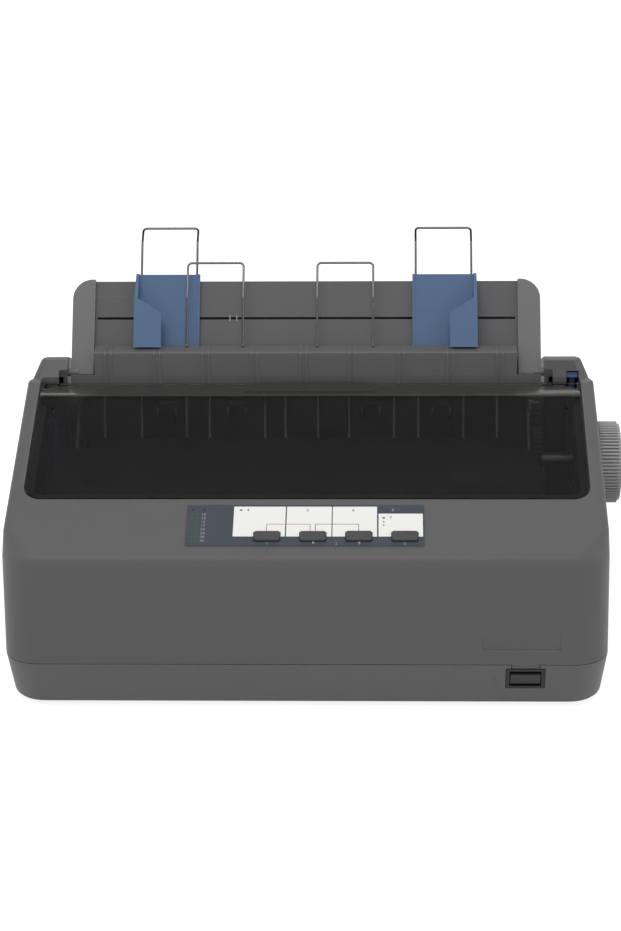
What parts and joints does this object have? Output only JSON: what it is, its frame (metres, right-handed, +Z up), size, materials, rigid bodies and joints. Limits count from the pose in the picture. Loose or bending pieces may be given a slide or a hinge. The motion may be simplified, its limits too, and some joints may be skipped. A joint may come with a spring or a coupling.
{
  "type": "dot matrix printer",
  "caption": "Compact impact printer for single sheets and fan-fold paper: smoked hinged cover, folding paper guide with sliding edge guides, platen with knob, carriage and tractor.",
  "frame": {"origin": "centre of the overall box, on the desk", "axes": "+X to the right seen from the front, +Y to the rear, +Z up"},
  "size_m": [0.3656, 0.275, 0.2208],
  "materials": {
    "lower_case": "fine moulded grain",
    "upper_case": "fine moulded grain",
    "rubber_feet": "matt",
    "printer_cover": "smoked, smooth",
    "exit_plate": "satin",
    "stacker_wires": "bright",
    "paper_guide": "satin",
    "edge_guide_left": "satin",
    "edge_guide_right": "satin",
    "edge_wire_left": "bright",
    "edge_wire_right": "bright",
    "panel_label": "smooth film",
    "panel_board": "solder resist",
    "panel_button_1": "satin",
    "panel_button_2": "satin",
    "panel_button_3": "satin",
    "panel_button_4": "satin",
    "switch_housing": "fine grain",
    "power_rocker": "fine grain",
    "release_lever": "satin",
    "gap_lever": "satin",
    "mechanism_frame": "zinc plated",
    "platen_roller": "ground matt",
    "platen_shaft": "ground",
    "platen_knob": "satin",
    "platen_gear": "smooth",
    "feed_motor": "semi-gloss",
    "feed_pinion": "machined",
    "tractor_idler_a": "smooth",
    "tractor_idler_b": "smooth",
    "eject_idler": "smooth",
    "eject_shaft": "ground",
    "eject_rollers": "ground matt",
    "eject_frame": "satin",
    "paper_chute": "satin",
    "pinch_rollers": "ground matt",
    "guide_shaft": "ground",
    "carriage": "satin",
    "print_head": "dark anodised",
    "carriage_motor": "semi-gloss",
    "drive_pulley": "machined",
    "idler_pulley": "smooth",
    "carriage_belt": "matt",
    "ribbon_cartridge": "satin",
    "ink_ribbon": "inked weave",
    "ribbon_knob": "satin",
    "tractor_shaft": "ground",
    "tractor_rod": "ground",
    "tractor_left": "satin",
    "tractor_right": "satin",
    "sprocket_left": "smooth",
    "sprocket_right": "smooth",
    "tractor_flap_left": "satin",
    "tractor_flap_right": "satin",
    "main_board": "solder resist",
    "power_board": "laminate",
    "mains_inlet": "fine grain",
    "data_sockets": "plated",
    "case_screws": "ground"
  },
  "bodies": {
    "case": {"lower_case": "lower_case", "upper_case": "upper_case", "rubber_feet": "rubber_feet", "exit_plate": "exit_plate", "stacker_wires": "stacker_wires", "panel_label": "panel_label", "panel_board": "panel_board", "switch_housing": "switch_housing", "mechanism_frame": "mechanism_frame", "feed_motor": "feed_motor", "eject_frame": "eject_frame", "paper_chute": "paper_chute", "guide_shaft": "guide_shaft", "carriage_motor": "carriage_motor", "carriage_belt": "carriage_belt", "ribbon_cartridge": "ribbon_cartridge", "ink_ribbon": "ink_ribbon", "tractor_rod": "tractor_rod", "main_board": "main_board", "power_board": "power_board", "mains_inlet": "mains_inlet", "data_sockets": "data_sockets", "case_screws": "case_screws"},
    "cover": {"printer_cover": "printer_cover"},
    "guide": {"paper_guide": "paper_guide"},
    "edge_left": {"edge_guide_left": "edge_guide_left", "edge_wire_left": "edge_wire_left"},
    "edge_right": {"edge_guide_right": "edge_guide_right", "edge_wire_right": "edge_wire_right"},
    "button_1": {"panel_button_1": "panel_button_1"},
    "button_2": {"panel_button_2": "panel_button_2"},
    "button_3": {"panel_button_3": "panel_button_3"},
    "button_4": {"panel_button_4": "panel_button_4"},
    "rocker": {"power_rocker": "power_rocker"},
    "release": {"release_lever": "release_lever"},
    "gap": {"gap_lever": "gap_lever"},
    "platen": {"platen_roller": "platen_roller", "platen_shaft": "platen_shaft", "platen_knob": "platen_knob", "platen_gear": "platen_gear"},
    "pinion": {"feed_pinion": "feed_pinion"},
    "idler_a": {"tractor_idler_a": "tractor_idler_a"},
    "idler_b": {"tractor_idler_b": "tractor_idler_b"},
    "eject_idler": {"eject_idler": "eject_idler"},
    "eject": {"eject_shaft": "eject_shaft", "eject_rollers": "eject_rollers"},
    "pinch": {"pinch_rollers": "pinch_rollers"},
    "carriage": {"carriage": "carriage", "print_head": "print_head"},
    "drive_pulley": {"drive_pulley": "drive_pulley"},
    "idler_pulley": {"idler_pulley": "idler_pulley"},
    "ribbon_knob": {"ribbon_knob": "ribbon_knob"},
    "tractor_drive": {"tractor_shaft": "tractor_shaft"},
    "tractor_left": {"tractor_left": "tractor_left"},
    "tractor_right": {"tractor_right": "tractor_right"},
    "sprocket_left": {"sprocket_left": "sprocket_left"},
    "sprocket_right": {"sprocket_right": "sprocket_right"},
    "flap_left": {"tractor_flap_left": "tractor_flap_left"},
    "flap_right": {"tractor_flap_right": "tractor_flap_right"}
  },
  "joints": [
    {"name": "cover_hinge", "type": "hinge", "parent": "case", "child": "cover", "pos_m": [0, 0.013, 0.1414], "axis": [-1, 0, 0], "range_deg": [0, 110]},
    {"name": "guide_fold", "type": "hinge", "parent": "case", "child": "guide", "pos_m": [0, 0.0293, 0.1465], "axis": [-1, 0, 0], "range_deg": [0, 60]},
    {"name": "edge_left_slide", "type": "slide", "parent": "guide", "child": "edge_left", "axis": [1, 0, 0], "range_m": [-0.024, 0.018]},
    {"name": "edge_right_slide", "type": "slide", "parent": "guide", "child": "edge_right", "axis": [-1, 0, 0], "range_m": [-0.024, 0.048]},
    {"name": "button_1_press", "type": "slide", "parent": "case", "child": "button_1", "axis": [0, 0.3223, -0.9466], "range_m": [0, 0.001], "stiffness_N_per_m": 300, "springref_m": -0.0003},
    {"name": "button_2_press", "type": "slide", "parent": "case", "child": "button_2", "axis": [0, 0.3223, -0.9466], "range_m": [0, 0.001], "stiffness_N_per_m": 300, "springref_m": -0.0003},
    {"name": "button_3_press", "type": "slide", "parent": "case", "child": "button_3", "axis": [0, 0.3223, -0.9466], "range_m": [0, 0.001], "stiffness_N_per_m": 300, "springref_m": -0.0003},
    {"name": "button_4_press", "type": "slide", "parent": "case", "child": "button_4", "axis": [0, 0.3223, -0.9466], "range_m": [0, 0.001], "stiffness_N_per_m": 300, "springref_m": -0.0003},
    {"name": "rocker_tip", "type": "hinge", "parent": "case", "child": "rocker", "pos_m": [0.12055, -0.12977, 0.0222], "axis": [-1, 0, 0], "range_deg": [0, 12]},
    {"name": "release_swing", "type": "hinge", "parent": "case", "child": "release", "pos_m": [0.15495, 0.0345, 0.074], "axis": [1, 0, 0], "range_deg": [0, 3]},
    {"name": "gap_swing", "type": "hinge", "parent": "case", "child": "gap", "pos_m": [-0.16395, -0.0115, 0.08], "axis": [1, 0, 0], "range_deg": [0, 8]},
    {"name": "platen_turn", "type": "hinge", "parent": "case", "child": "platen", "pos_m": [0, -0.0035, 0.1], "axis": [1, 0, 0], "continuous": true},
    {"name": "pinion_turn", "type": "hinge", "parent": "case", "child": "pinion", "pos_m": [0, 0.01141, 0.0787], "axis": [1, 0, 0], "continuous": true},
    {"name": "idler_a_turn", "type": "hinge", "parent": "case", "child": "idler_a", "pos_m": [0, 0.02801, 0.09444], "axis": [1, 0, 0], "continuous": true},
    {"name": "idler_b_turn", "type": "hinge", "parent": "case", "child": "idler_b", "pos_m": [0, 0.05105, 0.08772], "axis": [1, 0, 0], "continuous": true},
    {"name": "eject_idler_turn", "type": "hinge", "parent": "case", "child": "eject_idler", "pos_m": [0, 0.00637, 0.12513], "axis": [1, 0, 0], "continuous": true},
    {"name": "eject_turn", "type": "hinge", "parent": "case", "child": "eject", "pos_m": [0, 0.0191, 0.1225], "axis": [1, 0, 0], "continuous": true},
    {"name": "pinch_turn", "type": "hinge", "parent": "case", "child": "pinch", "pos_m": [0, -0.00032, 0.08198], "axis": [1, 0, 0], "continuous": true},
    {"name": "tractor_turn", "type": "hinge", "parent": "case", "child": "tractor_drive", "pos_m": [0, 0.0705, 0.098], "axis": [1, 0, 0], "continuous": true},
    {"name": "tractor_left_slide", "type": "slide", "parent": "case", "child": "tractor_left", "axis": [1, 0, 0], "range_m": [-0.008, 0.078]},
    {"name": "tractor_right_slide", "type": "slide", "parent": "case", "child": "tractor_right", "axis": [-1, 0, 0], "range_m": [-0.008, 0.078]},
    {"name": "sprocket_left_turn", "type": "hinge", "parent": "tractor_left", "child": "sprocket_left", "pos_m": [-0.11975, 0.0705, 0.098], "axis": [1, 0, 0], "continuous": true},
    {"name": "sprocket_right_turn", "type": "hinge", "parent": "tractor_right", "child": "sprocket_right", "pos_m": [0.09825, 0.0705, 0.098], "axis": [1, 0, 0], "continuous": true},
    {"name": "flap_left_hinge", "type": "hinge", "parent": "tractor_left", "child": "flap_left", "pos_m": [-0.13315, 0.0705, 0.1089], "axis": [0, -1, 0], "range_deg": [0, 100]},
    {"name": "flap_right_hinge", "type": "hinge", "parent": "tractor_right", "child": "flap_right", "pos_m": [0.11165, 0.0705, 0.1089], "axis": [0, 1, 0], "range_deg": [0, 100]},
    {"name": "carriage_travel", "type": "slide", "parent": "case", "child": "carriage", "axis": [1, 0, 0], "range_m": [0, 0.204]},
    {"name": "drive_pulley_turn", "type": "hinge", "parent": "case", "child": "drive_pulley", "pos_m": [0.10025, -0.065, 0.058], "axis": [0, 0, 1], "continuous": true},
    {"name": "idler_pulley_turn", "type": "hinge", "parent": "case", "child": "idler_pulley", "pos_m": [-0.13375, -0.065, 0.058], "axis": [0, 0, 1], "continuous": true},
    {"name": "ribbon_knob_turn", "type": "hinge", "parent": "case", "child": "ribbon_knob", "pos_m": [-0.13575, -0.0604, 0.1], "axis": [0, 0, 1], "continuous": true}
  ],
  "couplings": [
    {"joint": "pinion_turn", "follows": "platen_turn", "ratio": -3.3333},
    {"joint": "idler_a_turn", "follows": "platen_turn", "ratio": -1.6667},
    {"joint": "idler_b_turn", "follows": "platen_turn", "ratio": 1.6667},
    {"joint": "tractor_turn", "follows": "platen_turn", "ratio": -2},
    {"joint": "sprocket_left_turn", "follows": "platen_turn", "ratio": -2},
    {"joint": "sprocket_right_turn", "follows": "platen_turn", "ratio": -2},
    {"joint": "eject_idler_turn", "follows": "platen_turn", "ratio": -2.8571},
    {"joint": "eject_turn", "follows": "platen_turn", "ratio": 3.3333},
    {"joint": "pinch_turn", "follows": "platen_turn", "ratio": -2.6},
    {"joint": "drive_pulley_turn", "follows": "carriage_travel", "rad_per_m": 151.52},
    {"joint": "idler_pulley_turn", "follows": "carriage_travel", "rad_per_m": 151.52}
  ]
}
